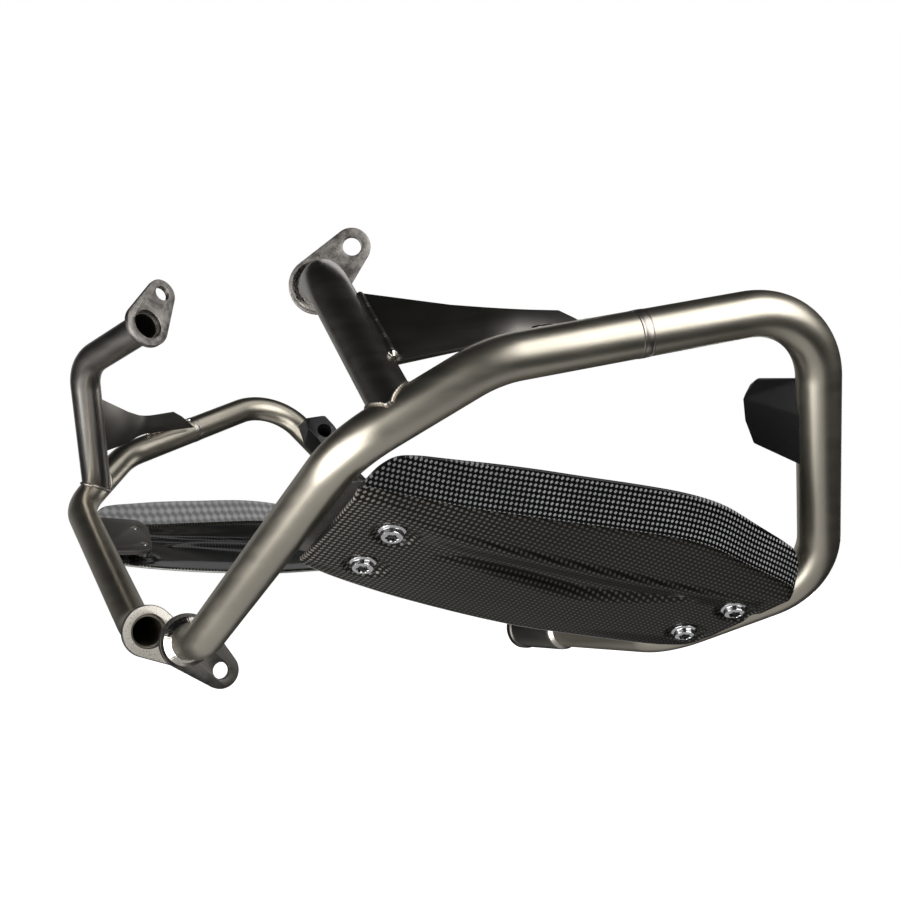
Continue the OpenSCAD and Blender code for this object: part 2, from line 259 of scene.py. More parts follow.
def pipe(route, radii, saddle=False, cut=None):
    """A hollow bent tube. With saddle its first end is coped to the front tube, and with cut its last
    end is cut square to that direction."""
    sides = TUBE_SIDES
    stations = centreline(route, radii)
    outer = rings(stations, lambda i, a: TUBE_R, sides)
    inner = rings(stations, lambda i, a: TUBE_R - TUBE_WALL, sides)
    if saddle:
        axis = (FRONT_SHOULDER - FRONT_KNEE).normalized()
        for ring in (outer[0], inner[0]):
            for k, p in enumerate(ring):
                ring[k] = on_saddle(p, stations[0][1], FRONT_KNEE, axis, TUBE_R - 0.2)
    if cut:
        end, direction = stations[-1]
        for ring in (outer[-1], inner[-1]):
            for k, p in enumerate(ring):
                ring[k] = p + direction * ((end - p).dot(cut) / direction.dot(cut))
    shape = Shape().add(*skin(outer))
    base = len(shape.verts)
    shape.add(*skin(inner, inward=True))
    last = (len(outer) - 1) * sides
    for k in range(sides):
        m = (k + 1) % sides
        shape.faces.append((m, k, base + k, base + m))
        shape.faces.append((last + k, last + m, base + last + m, base + last + k))
    return shape


def capped(ring_list):
    """Quads between successive rings, with both ends closed."""
    verts, faces = skin(ring_list)
    sides = len(ring_list[0])
    faces.append(tuple(reversed(range(sides))))
    faces.append(tuple(range(len(verts) - sides, len(verts))))
    return verts, faces


def turned_ring(radius_at, z, sides):
    """A ring of points about the z axis."""
    ring = []
    for k in range(sides):
        a = 2 * math.pi * k / sides
        r = radius_at(a)
        ring.append(Vector((r * math.cos(a), r * math.sin(a), z)))
    return ring


def lathe(profile, sides, lobes=0):
    """Turns (radius, height, lobe) points about z. A lobe above 0 waves the ring's radius."""
    return capped([turned_ring(lambda a: r * (1 + lobe * math.cos(lobes * a)), z, sides)
                   for r, z, lobe in profile])


def ring_lathe(profile, sides=96):
    """Turns a closed profile of (radius, height) points about z, as a ring."""
    return skin([turned_ring(lambda a: r, z, sides) for r, z in profile], closed=True)


def bead(path, size, ripple, pitch, closed=False, sides=12):
    """A weld bead along a path: a round line of overlapping ripples, tapered where it ends.

    Size is its radius, ripple the share of it that waves, and pitch the length of one wave."""
    stations = []
    count = len(path)
    lengths = [0.0]
    for i in range(1, count):
        lengths.append(lengths[-1] + (path[i] - path[i - 1]).length)
    for i, p in enumerate(path):
        before = path[(i - 1) % count] if closed or i else path[i]
        after = path[(i + 1) % count] if closed or i < count - 1 else path[i]
        stations.append((p, (after - before).normalized()))

    def radius_at(i, a):
        wave = (lengths[i] / pitch) % 1.0
        grow = 1.0 if closed else min(1.0, 0.35 + min(lengths[i], lengths[-1] - lengths[i]) / size)
        return size * grow * (1 - ripple + ripple * math.sin(math.pi * wave) ** 0.6)

    ring_list = rings(stations, radius_at, sides)
    return skin(ring_list, closed=True) if closed else capped(ring_list)


def arc(cx, cy, r, start, end, steps):
    """Points on a circle from one angle to another, in degrees."""
    angles = [math.radians(start + (end - start) * k / steps) for k in range(steps + 1)]
    return [(cx + r * math.cos(a), cy + r * math.sin(a)) for a in angles]


def rounded(points, radius, steps=6):
    """A polygon whose corners are rounded by arcs, as smooth as a quadratic curve."""
    out = []
    count = len(points)
    for i in range(count):
        a, b, c = (Vector(points[(i + k) % count]) for k in (-1, 0, 1))
        r = min(radius, (a - b).length * 0.45, (c - b).length * 0.45)
        p, q = b + (a - b).normalized() * r, b + (c - b).normalized() * r
        for k in range(steps + 1):
            f = k / steps
            out.append(tuple(p.lerp(b, f).lerp(b.lerp(q, f), f)))
    return out


def plate(outline, holes, thickness, edge):
    """A flat plate between z = 0 and its thickness, with round-edged outline and holes."""
    curve = bpy.data.curves.new("plate", "CURVE")
    curve.dimensions = "2D"
    curve.fill_mode = "BOTH"
    curve.extrude = thickness / 2 - edge
    curve.bevel_depth = edge
    curve.bevel_resolution = 2
    curve.offset = -edge
    for loop in (outline, *holes):
        spline = curve.splines.new("POLY")
        spline.points.add(len(loop) - 1)
        for point, (x, y) in zip(spline.points, loop):
            point.co = (x, y, 0, 1)
        spline.use_cyclic_u = True
    holder = add_object("plate", curve)
    bpy.context.view_layer.update()
    mesh = bpy.data.meshes.new_from_object(holder.evaluated_get(bpy.context.evaluated_depsgraph_get()))
    bm = bmesh.new()
    bm.from_mesh(mesh)
    bmesh.ops.remove_doubles(bm, verts=bm.verts, dist=0.001)
    bmesh.ops.recalc_face_normals(bm, faces=bm.faces)
    bm.verts.index_update()
    verts = [v.co + Vector((0, 0, thickness / 2)) for v in bm.verts]
    faces = [tuple(v.index for v in f.verts) for f in bm.faces]
    bm.free()
    bpy.data.objects.remove(holder)
    bpy.data.meshes.remove(mesh)
    bpy.data.curves.remove(curve)
    return verts, faces


def round_hole(cx, cy, d, steps=40):
    """Outline of a round hole for a plate."""
    return arc(cx, cy, d / 2, 0, 360 - 360 / steps, steps - 1)


# ---- materials

def smooth_step(t):
    """0 up to 0, 1 from 1 on, and a smooth rise between."""
    t = min(1.0, max(0.0, t))
    return t * t * (3 - 2 * t)


class Nodes:
    """A small helper that writes a material's node tree."""

    def __init__(self, name):
        self.material = bpy.data.materials.new(name)
        self.material.use_nodes = True
        self.tree = self.material.node_tree
        self.shader = self.tree.nodes["Principled BSDF"]
        self.coords = self.tree.nodes.new("ShaderNodeTexCoord")

    def link(self, a, b):
        self.tree.links.new(a, b)

    def value(self, socket, value):
        if isinstance(value, (int, float, tuple)):
            socket.default_value = value
        else:
            self.link(value, socket)

    def math(self, operation, a, b=0.0):
        node = self.tree.nodes.new("ShaderNodeMath")
        node.operation = operation
        for socket, v in zip(node.inputs, (a, b)):
            self.value(socket, v)
        return node.outputs[0]

    def ramp(self, fac, low, high, start, end):
        """Maps fac from low..high to start..end, smoothly."""
        node = self.tree.nodes.new("ShaderNodeMapRange")
        node.interpolation_type = "SMOOTHSTEP"
        for key, v in {"Value": fac, "From Min": low, "From Max": high,
                       "To Min": start, "To Max": end}.items():
            self.value(node.inputs[key], v)
        return node.outputs["Result"]

    def mix(self, fac, a, b):
        """Blends from colour a to colour b."""
        node = self.tree.nodes.new("ShaderNodeMix")
        node.data_type = "RGBA"
        self.value(node.inputs["Factor"], fac)
        sockets = [s for s in node.inputs if s.type == "RGBA"]
        for socket, colour in zip(sockets, (a, b)):
            self.value(socket, (*colour, 1.0) if isinstance(colour, tuple) else colour)
        return [s for s in node.outputs if s.type == "RGBA"][0]

    def noise(self, scale, detail, rough=0.5, stretch=None):
        node = self.tree.nodes.new("ShaderNodeTexNoise")
        node.inputs["Scale"].default_value = scale
        node.inputs["Detail"].default_value = detail
        node.inputs["Roughness"].default_value = rough
        vector = self.coords.outputs["Object"]
        if stretch:
            mapping = self.tree.nodes.new("ShaderNodeMapping")
            mapping.inputs["Scale"].default_value = stretch
            self.link(vector, mapping.inputs["Vector"])
            vector = mapping.outputs["Vector"]
        self.link(vector, node.inputs["Vector"])
        return node.outputs["Fac"]

    def bump(self, height, distance, strength):
        node = self.tree.nodes.new("ShaderNodeBump")
        node.inputs["Strength"].default_value = strength
        node.inputs["Distance"].default_value = distance
        self.link(height, node.inputs["Height"])
        self.link(node.outputs["Normal"], self.shader.inputs["Normal"])

    def set(self, **values):
        """Sets or links the shader's inputs; an underscore stands for a space in a name."""
        for key, v in values.items():
            socket = self.shader.inputs[key.replace("_", " ")]
            self.value(socket, (*v, 1.0) if isinstance(v, tuple) else v)


def blasted_metal(name, light, dark, rough):
    """Bead-blasted titanium: soft broad highlights, fine grain and slow changes of tint."""
    n = Nodes(name)
    slow = n.noise(14.0, 3.0)
    fine = n.noise(900.0, 2.0, 0.6)
    colour = n.mix(n.ramp(slow, 0.3, 0.7, 0.0, 1.0), dark, light)
    n.set(Base_Color=n.mix(n.ramp(fine, 0.35, 0.65, 0.0, 0.08), colour, dark), Metallic=1.0)
    wear = n.noise(40.0, 3.0, 0.5, (1.0, 1.0, 4.0))
    n.set(Roughness=n.ramp(wear, 0.3, 0.7, rough - 0.02, rough + 0.02))
    n.bump(fine, 0.00002, 0.4)
    return n.material


def brushed_plate(name, light, dark):
    """Sheet metal with a speckled, finely ground face."""
    n = Nodes(name)
    speck = n.noise(1500.0, 2.0, 0.7)
    cloud = n.noise(180.0, 3.0, 0.6)
    fac = n.math("ADD", n.math("MULTIPLY", speck, 0.6), n.math("MULTIPLY", cloud, 0.4))
    n.set(Base_Color=n.mix(n.ramp(fac, 0.38, 0.62, 0.0, 1.0), dark, light), Metallic=1.0)
    n.set(Roughness=n.ramp(cloud, 0.3, 0.7, 0.36, 0.5))
    n.bump(speck, 0.00004, 0.6)
    return n.material


def weld_metal(name):
    """Polished weld metal."""
    n = Nodes(name)
    fine = n.noise(500.0, 2.0)
    n.set(Base_Color=n.mix(n.ramp(fine, 0.3, 0.7, 0.0, 1.0), (0.86, 0.82, 0.75), (0.58, 0.54, 0.48)),
          Metallic=1.0, Roughness=n.ramp(fine, 0.3, 0.7, 0.14, 0.3))
    n.bump(fine, 0.00006, 0.5)
    return n.material


def dark_sheet(name, light, dark, rough):
    """Dark satin sheet: a faint grain and a few pale dust specks."""
    n = Nodes(name)
    grain = n.noise(1100.0, 2.0, 0.6)
    dust = n.noise(420.0, 1.0, 0.3)
    colour = n.mix(n.ramp(grain, 0.35, 0.65, 0.0, 1.0), dark, light)
    colour = n.mix(n.ramp(dust, 0.79, 0.82, 0.0, 0.5), colour, (0.3, 0.3, 0.3))
    n.set(Base_Color=colour, Metallic=0.75, Roughness=n.ramp(grain, 0.3, 0.7, rough - 0.05, rough + 0.06))
    n.bump(grain, 0.00003, 0.5)
    return n.material


def bright_steel(name):
    """Polished steel of the panel screws."""
    n = Nodes(name)
    fine = n.noise(900.0, 2.0)
    n.set(Base_Color=n.mix(n.ramp(fine, 0.3, 0.7, 0.0, 1.0), (0.80, 0.80, 0.81), (0.70, 0.70, 0.71)),
          Metallic=1.0, Roughness=n.ramp(fine, 0.3, 0.7, 0.1, 0.2))
    n.bump(fine, 0.00001, 0.4)
    return n.material


def moulded(name, light, dark, rough):
    """Moulded black plastic with a fine spark-eroded grain and a few pale specks."""
    n = Nodes(name)
    grain = n.noise(1300.0, 2.0, 0.5)
    dust = n.noise(500.0, 1.0, 0.3)
    colour = n.mix(n.ramp(grain, 0.3, 0.7, 0.0, 1.0), dark, light)
    colour = n.mix(n.ramp(dust, 0.8, 0.83, 0.0, 0.6), colour, (0.25, 0.25, 0.25))
    n.set(Base_Color=colour, Roughness=n.ramp(grain, 0.3, 0.7, rough - 0.06, rough + 0.06))
    n.bump(grain, 0.00005, 0.7)
    return n.material


def carbon(name, light, dark, low, high, coat, shades, metal=0.0):
    """Lacquered plain weave on the bias: one family of tows shows light, the other one black.

    Low and high bound the tow's edge. The light tows' share of the light colour runs through the
    shades, given as (weave u, share), and metal is how metallic the light tows are."""
    n = Nodes(name)
    uv = n.tree.nodes.new("ShaderNodeUVMap")
    uv.uv_map = "weave"
    split = n.tree.nodes.new("ShaderNodeSeparateXYZ")
    n.link(uv.outputs["UV"], split.inputs[0])
    u, v = split.outputs[0], split.outputs[1]
    a = n.math("COSINE", n.math("MULTIPLY", n.math("ADD", u, v), math.pi))
    b = n.math("COSINE", n.math("MULTIPLY", n.math("SUBTRACT", u, v), math.pi))
    cell = n.math("MULTIPLY", a, b)
    lean = n.math("SUBTRACT", n.math("ABSOLUTE", b), n.math("ABSOLUTE", a))
    squareness = n.ramp(u, shades[0][0], shades[-1][0], 0.35, 0.0)
    tow = n.math("ADD", cell, n.math("MULTIPLY", lean, squareness))
    slow = n.noise(45.0, 2.0)
    mask = n.math("MULTIPLY", n.ramp(tow, low, high, 0.0, 1.0), n.ramp(slow, 0.25, 0.75, 0.75, 1.0))
    share = shades[0][1]
    for (u0, share0), (u1, share1) in zip(shades, shades[1:]):
        share = n.math("ADD", share, n.ramp(u, u0, u1, 0.0, share1 - share0))
    n.set(Base_Color=n.mix(n.math("MULTIPLY", mask, share), dark, light),
          Metallic=n.math("MULTIPLY", mask, metal), Roughness=n.ramp(cell, -0.5, 0.5, 0.34, 0.46),
          Specular_IOR_Level=0.12, Coat_Weight=coat, Coat_Roughness=0.09, Coat_IOR=1.5)
    n.bump(n.math("ABSOLUTE", cell), 0.0001, 0.35)
    return n.material


def machined_face(name, colour):
    """A turned face with fine tool marks, in the given colour."""
    n = Nodes(name)
    marks = n.noise(700.0, 2.0, 0.6)
    n.set(Base_Color=n.mix(n.ramp(marks, 0.3, 0.7, 0.0, 0.35), colour, (0.6, 0.56, 0.5)), Metallic=0.5,
          Roughness=n.ramp(marks, 0.3, 0.7, 0.26, 0.36))
    n.bump(marks, 0.00002, 0.4)
    return n.material


TITANIUM = blasted_metal("satin_titanium", (0.60, 0.553, 0.462), (0.505, 0.467, 0.39), 0.355)
PLATE_METAL = brushed_plate("plate_titanium", (0.46, 0.43, 0.40), (0.24, 0.225, 0.21))
DARK_PLATE = brushed_plate("plate_titanium_dark", (0.13, 0.123, 0.112), (0.08, 0.076, 0.07))
# The strut's titanium is the tubes' titanium made darker: painted shade for a strut that faces a dark part
# of the room.
STRUT_METAL_PAINTED_SHADE = blasted_metal("strut_titanium", (0.44, 0.415, 0.385), (0.36, 0.34, 0.315), 0.31)
# The lower mount faces' near-white colour is a painted highlight: a lamp's reflection in the turned face.
MACHINED_PAINTED_HIGHLIGHT = machined_face("plate_titanium_face_painted_highlight", (0.95, 0.9, 0.8))
BOSS_METAL = blasted_metal("boss_titanium", (0.16, 0.15, 0.135), (0.1, 0.094, 0.088), 0.33)
WELD = weld_metal("polished_weld")
JOINT = blasted_metal("joint_weld", (0.54, 0.50, 0.45), (0.44, 0.40, 0.36), 0.34)
GUSSET = blasted_metal("gusset_titanium", (0.24, 0.228, 0.21), (0.2, 0.19, 0.175), 0.37)
BRACKET = dark_sheet("bracket_dark", (0.20, 0.19, 0.18), (0.14, 0.135, 0.13), 0.4)
CARBON_WALL = carbon("carbon_weave", (0.46, 0.465, 0.465), (0.003, 0.003, 0.003), 0.15, 0.6, 0.35,
                     [(-10, 0.42), (40, 0.66), (87, 0.95)])
# The side wall's inner ply is light grey with a blurred weave: a painted reflection of lamp glare on dark
# carbon.
LINING_PAINTED_GLARE = carbon("carbon_lining_painted_glare", (0.52, 0.52, 0.53), (0.24, 0.24, 0.245), -0.7, 0.9, 0.1,
                [(-4, 1.0), (29, 1.0)])
INSIDE = carbon("carbon_inside", (0.05, 0.05, 0.05), (0.004, 0.004, 0.004), 0.1, 0.8, 0.9,
                [(-11, 1.0), (78, 1.0)])
# On the main face the light tows grow lighter towards the front edge: a painted reflection of the bend
# there. The weave itself is the face's own colour.
CARBON_FACE = carbon("carbon_face", (0.40, 0.375, 0.325), (0.006, 0.0055, 0.0045), 0.15, 0.7, 0.16,
                     [(-11, 1.0), (-3, 0.6), (26, 0.32)], metal=1.0)
# The edge line's light grey is partly the cut laminate's colour and partly a painted highlight.
EDGE_AND_HIGHLIGHT = dark_sheet("carbon_edge_and_highlight", (0.5, 0.49, 0.46), (0.4, 0.39, 0.37), 0.4)
SCREW = bright_steel("screw_bright")
NUT = blasted_metal("nut_zinc", (0.6, 0.6, 0.6), (0.45, 0.45, 0.45), 0.3)
RUBBER = moulded("bumper_black", (0.016, 0.016, 0.017), (0.009, 0.009, 0.01), 0.42)
BLOCK_SCREW = blasted_metal("bumper_screw_steel", (0.3, 0.3, 0.31), (0.2, 0.2, 0.21), 0.3)


# ---- the guards' pieces

def front_tube():
    """From the lower mount plate to the butt joint."""
    start = LOWER_END + Vector((0, PLATE_T, 0))
    return pipe([start, FRONT_ELBOW, FRONT_KNEE, FRONT_SHOULDER, TUBE_JOINT], FRONT_BENDS)


def rear_tube():
    """From the butt joint to the rear mount's bush."""
    return pipe([TUBE_JOINT, REAR_CORNER, REAR_HEEL, REAR_KNEE, BOSS_START], REAR_BENDS)


def strut_tube(side):
    """The strut, cut flat on its mount plate; the left one bends a little nearer to its foot."""
    knee = STRUT_KNEE if side == "right" else STRUT_FOOT.lerp(STRUT_KNEE, LEFT_BEND_SHARE)
    axis = (STRUT_KNEE - STRUT_END).normalized()
    return pipe([STRUT_FOOT, knee, STRUT_END + axis * PLATE_T], STRUT_BENDS, saddle=True, cut=axis)


def tube_joint_weld():
    """The dressed butt joint: a low band with two fine grooves, as (rise, distance from the middle)."""
    d = (REAR_CORNER - FRONT_SHOULDER).normalized()
    half = [(-0.5, 3.3), (0.03, 3.3), (0.2, 2.7), (0.05, 2.2), (0.2, 1.6), (0.26, 0)]
    profile = [(TUBE_R + r, -z) for r, z in half] + [(TUBE_R + r, z) for r, z in half[-2::-1]]
    return Shape().add(*ring_lathe(profile), along(TUBE_JOINT, TUBE_JOINT + d))


def strut_foot_weld():
    """The bead round the cope where the strut stands on the front tube."""
    axis = (FRONT_SHOULDER - FRONT_KNEE).normalized()
    up = (STRUT_KNEE - STRUT_FOOT).normalized()
    side = up.cross(axis).normalized()
    path = []
    count = 240
    for k in range(count):
        a = 2 * math.pi * k / count
        start = STRUT_FOOT + (side * math.cos(a) + up.cross(side) * math.sin(a)) * (TUBE_R + 0.6)
        path.append(on_saddle(start, up, FRONT_KNEE, axis, TUBE_R + 0.5))
    return Shape().add(*bead(path, size=1.3, ripple=0.12, pitch=2.0, closed=True))


def upper_frame():
    """The upper mount plate's frame: x to its bolt hole, z out along the strut."""
    z = (STRUT_KNEE - STRUT_END).normalized()
    x = z.cross(Vector((-20, 14, 25))).cross(z).normalized()
    return frame_at(STRUT_END, x, z.cross(x), z)


def lower_frame():
    """The lower mount plate's frame: x to its bolt hole, z out along the front tube."""
    x = Vector((-math.cos(LOWER_SLOPE), 0, -math.sin(LOWER_SLOPE)))
    return frame_at(LOWER_END, x, Vector((0, 1, 0)).cross(x), Vector((0, 1, 0)))


def teardrop(matrix, reach, hole_d, thickness, edge, inset=0.0, clear=0.0):
    """A plate round the tube's end, with the bolt hole in its small end. Inset draws its outline in,
    and clear widens its holes."""
    big, small = PLATE_BIG_R - inset, PLATE_SMALL_R - inset
    a = math.degrees(math.acos((big - small) / reach))
    outline = arc(0, 0, big, a, 360 - a, 44) + arc(reach, 0, small, -a, a, 24)
    holes = [round_hole(0, 0, PLATE_BORE + clear, 72), round_hole(reach, 0, hole_d + clear)]
    return Shape().add(*plate(outline, holes, thickness, edge), matrix)


def mount_plate(matrix, reach, hole_d):
    """A mount plate."""
    return teardrop(matrix, reach, hole_d, PLATE_T, 0.5)


def mount_face(matrix, reach, hole_d):
    """The thin machined skin on a mount plate's inner face."""
    proud = matrix @ Matrix.Translation((0, 0, -0.05))
    return teardrop(proud, reach, hole_d, 0.3, 0.05, inset=0.6, clear=1.1)


def fillet_ring(foot, height, reach, ripples):
    """A ground weld round a tube: a hollow fillet with a very fine ripple, about z from foot upwards."""
    profile = [(-0.6, -0.3), (reach - 0.2, -0.3), (reach, 0.15), (reach * 0.86, 0.75),
               (reach * 0.62, height * 0.36), (reach * 0.4, height * 0.62),
               (reach * 0.2, height * 0.86), (0.15, height), (-0.6, height)]
    ring_list = []
    for r, z in profile:
        wave = 0.03 if 0.3 < r < reach - 0.05 else 0.0
        ring_list.append(turned_ring(lambda a: TUBE_R + r + wave * math.sin(ripples * a), foot + z, 288))
    return skin(ring_list, closed=True)


def collar_weld(matrix):
    """The polished fillet between a mount plate's outer face and its tube."""
    return Shape().add(*fillet_ring(foot=PLATE_T, height=5.4, reach=4.0, ripples=58), matrix)


def rear_mount_boss():
    """A turned bush with an open bore, a chamfered rim and a groove behind it."""
    profile = [(5.25, 1.2), (6.0, 0), (13.6, 0), (14.6, 0.9), (14.6, 2.0), (16.0, 3.0), (16.0, 7.4),
               (15.2, 8.2), (15.0, 9.0), (15.0, 55.0), (14.2, 57.4), (12.9, 58.0), (5.25, 58.0)]
    return Shape().add(*ring_lathe(profile), crosswise(REAR_END))


def boss_weld():
    """The ground weld where the rear tube meets its bush."""
    return Shape().add(*fillet_ring(foot=0, height=3.6, reach=2.0, ripples=52), crosswise(BOSS_START))


def on_tube(point, a, b, radius):
    """The point of a round tube's surface nearest to a point."""
    axis = (b - a).normalized()
    foot = a + axis * (point - a).dot(axis)
    return foot + (point - foot).normalized() * radius


def flattened(points):
    """Points brought into the plane of the first, the second and the last one."""
    n = (points[1] - points[0]).cross(points[-1] - points[0]).normalized()
    return [p - n * (p - points[0]).dot(n) for p in points]


# The gusset: its fold, the web's upper and lower corners, the flange's outline beyond the fold, and
# the ends of its bead on the front tube
GUSSET_FOLD = (Vector((-104, 289, 175)), Vector((-97, 298, 161)))
GUSSET_TOP = (Vector((-50, 229, 196)), Vector((-84, 270, 182)))
GUSSET_LOW = (Vector((-80, 290, 155)), Vector((-47, 266, 149)))
FLANGE = (Vector((-118, 294, 176)), Vector((-134, 301, 178)), Vector((-141, 309, 175)),
          Vector((-152, 328, 168)))
TUBE_SEAM = (Vector((-107, 313.7, 159.4)), Vector((-156.7, 324.6, 166.1)))
GUSSET_T = 3.0


def evaluated(bm, modifiers):
    """Points and faces of a mesh after modifiers, given as (type, settings)."""
    mesh = bpy.data.meshes.new("work")
    bm.to_mesh(mesh)
    bm.free()
    holder = add_object("work", mesh)
    for kind, settings in modifiers:
        modifier = holder.modifiers.new(kind, kind)
        for key, value in settings.items():
            setattr(modifier, key, value)
    bpy.context.view_layer.update()
    result = bpy.data.meshes.new_from_object(holder.evaluated_get(bpy.context.evaluated_depsgraph_get()))
    verts = [v.co.copy() for v in result.vertices]
    faces = [tuple(f.vertices) for f in result.polygons]
    bpy.data.objects.remove(holder)
    bpy.data.meshes.remove(mesh)
    bpy.data.meshes.remove(result)
    return verts, faces


def gusset():
    """Web and flange as one sheet with a soft fold."""
    web = flattened([GUSSET_TOP[0], GUSSET_TOP[1], *GUSSET_FOLD, *GUSSET_LOW])
    flange = flattened([web[2], *FLANGE, web[3]])
    bm = bmesh.new()
    fold = [bm.verts.new(p) for p in (web[2], web[3])]
    a = [bm.verts.new(p) for p in (web[0], web[1])]
    b = [bm.verts.new(p) for p in (web[4], web[5])]
    c = [bm.verts.new(p) for p in flange[1:-1]]
    bm.faces.new([a[0], a[1], fold[0], fold[1], b[0], b[1]])
    bm.faces.new([fold[0], *c, fold[1]])
    edge = [e for e in bm.edges if set(e.verts) == set(fold)]
    bmesh.ops.bevel(bm, geom=edge, offset=9, segments=7, profile=0.5, affect="EDGES")
    return Shape().add(*evaluated(bm, [
        ("SOLIDIFY", {"thickness": GUSSET_T, "offset": 0.0}),
        ("BEVEL", {"width": 0.35, "segments": 2, "limit_method": "ANGLE",
                   "angle_limit": math.radians(50)})]))


def gusset_welds():
    """Beads along the strut's side and along the tube, as two shapes: the dark one and the bright ones."""
    count = 90
    top, low = GUSSET_TOP[0], GUSSET_LOW[1]
    outward = (GUSSET_TOP[1] - top).cross(low - top).normalized()

    def beside_strut(k, inset, lift):
        return on_tube(top.lerp(low, k / count) - outward * inset, STRUT_FOOT, STRUT_KNEE, TUBE_R + lift)

    row = [beside_strut(k, 2.0, 0.7) for k in range(count - 4)]
    dark = Shape().add(*bead(row, size=2.3, ripple=0.12, pitch=1.9, sides=16))
    end_drop = [beside_strut(k, 2.4, 0.4) for k in range(count - 9, count + 1)]
    bright = Shape().add(*bead(end_drop, size=3.2, ripple=0.15, pitch=2.6))
    seam = []
    for k in range(count + 1):
        point = TUBE_SEAM[0].lerp(TUBE_SEAM[1], k / count)
        point = on_tube(point, FRONT_SHOULDER, REAR_CORNER, TUBE_R + 1.3)
        seam.append(point + Vector((0, -1.2, 0.45 * math.sin(k / 7.0))))
    bright.add(*bead(seam, size=2.7, ripple=0.15, pitch=6.0))
    return dark, bright


def bracket_plate(outline, screws):
    """A flat plate behind the panel, with its screw holes."""
    holes = [round_hole(x, y, 8.1) for x, y in screws]
    place = PANEL_FRAME @ Matrix.Translation((0, 0, BRACKET_N))
    return Shape().add(*plate(outline, holes, BRACKET_T, 0.6), place)


def front_panel_bracket():
    """One plate, welded on under the front tube."""
    outline = [(-46, -36), (-8, -34), (2, -27), (6, -14), (16, 24), (11, 38), (-30, 43)]
    return bracket_plate(rounded(outline, 7), FRONT_SCREWS)


def rear_panel_bracket():
    """A plate and the web that carries it on the rear tube."""
    outline = [(196, -28), (212, -28), (229, 12), (229, 29), (208, 29)]
    shape = bracket_plate(rounded(outline, 6), REAR_SCREWS)
    web_depth = 30
    verts, faces = plate([(212, -9), (216, -13), (250, 1), (247, 5)], [], web_depth + BRACKET_N + 1, 0.5)
    return shape.add(verts, faces, PANEL_FRAME @ Matrix.Translation((0, 0, -web_depth)))


# ---- the carbon panel

# Lines on the main face, as (s, t): both its edges, the crease, the leaf-shaped groove's bottom and
# where the face rounds off to its lower edge. The side wall's height over the fold, as (s, height)
LOWER_EDGE = [(-35, -29), (-33, -31.5), (-6, -40), (41, -48), (105, -51.5), (151, -47), (198, -40),
              (214, -34.5), (218, -32)]
FOLD_LINE = [(-27, 48.5), (27, 51), (75, 58), (120, 65), (150, 69), (172, 68), (200, 60), (236, 50),
             (241, 46)]
WALL_TOP = [(-27, 0.4), (-20, 12), (-14.5, 18), (-9.7, 21.4), (-3.6, 23.4), (7, 25.1), (44, 28), (98, 28.3),
            (126, 28.3), (156, 27.5), (193, 26.3), (218, 24.7), (228, 23.6)]
WALL_END = 241.4
CREASE = [(-7, 43), (35, 36), (72, 35), (122, 35), (159, 36), (202, 38), (234, 42)]
LEAF = [(32, 7), (51, 10), (84, 7), (125, 4), (159, 12), (190, 23)]
LOW_LINE = [(-20, -22), (19, -24), (40, -23), (87, -27), (131, -31), (181, -25), (210, -20)]
# Relief of the main face: swell of the band beside the fold, step out under the crease and slow fall
# behind it, depth of the leaf-shaped groove, and level of the seats round the screws
CROWN = 2.4
CREASE_STEP = 3.2
CREASE_FALL = 4.4
LEAF_DEPTH = 6.4
SEAT = -0.7
# Mesh of the panel: stations along it, rows on its face, steps round the fold, rows on its wall
STATIONS = 190
FACE_ROWS = 110
TURN_STEPS = 4
WALL_ROWS = 22


def at(points, x):
    """Height at x of a smooth line through points, level beyond both ends."""
    if x <= points[0][0]:
        return points[0][1]
    for i in range(len(points) - 1):
        (x0, y0), (x1, y1) = points[i], points[i + 1]
        if x <= x1:
            before = points[max(0, i - 1)]
            after = points[min(len(points) - 1, i + 2)]
            m0 = (y1 - before[1]) / (x1 - before[0])
            m1 = (after[1] - y0) / (after[0] - x0)
            h = x1 - x0
            f = (x - x0) / h
            return ((2 * f ** 3 - 3 * f ** 2 + 1) * y0 + (f ** 3 - 2 * f ** 2 + f) * h * m0
                    + (3 * f ** 2 - 2 * f ** 3) * y1 + (f ** 3 - f ** 2) * h * m1)
    return points[-1][1]


def swell(x, start, end):
    """A hump that is 0 at both ends and 1 in the middle."""
    if not start < x < end:
        return 0.0
    return math.sin(math.pi * (x - start) / (end - start)) ** 0.7


def relief(s, t):
    """How far the panel's outer face stands out at a place."""
    low, fold, crease = at(LOWER_EDGE, s), at(FOLD_LINE, s), at(CREASE, s)
    if t > crease:
        n = CROWN * smooth_step((fold - t) / max(4.0, fold - crease))
    else:
        fade = swell(s, -7, 228)
        n = CROWN + CREASE_STEP * fade * smooth_step((crease - t) / 4.5)
        n -= CREASE_FALL * fade * smooth_step((crease - 6 - t) / 15.0)
    brink = at(LOW_LINE, s)
    if t < brink:
        n *= smooth_step((t - low + 2.0) / max(4.0, brink - low + 2.0))
    deep = swell(s, 30, 192)
    if deep > 0.02:
        away = t - at(LEAF, s)
        rise = away / (1.2 + 4.6 * deep) if away > 0 else -away / (3 + 9 * deep)
        n -= LEAF_DEPTH * deep * (1.0 - smooth_step(rise))
    n *= smooth_step((s + 38) / 9.0)
    for x, y in (*FRONT_SCREWS, *REAR_SCREWS):
        reach = 17.0 if s > x else 13.0
        d = math.hypot((s - x) / reach, (t - y) / 12.5)
        if d < 1:
            n = SEAT + (n - SEAT) * smooth_step((d - 0.62) / 0.38)
    return n


def face_weave(s, t):
    """Weave coordinates on the main face, one unit per light tow."""
    return 0.327 * s - 0.047 * t, 0.037 * s + 0.346 * t


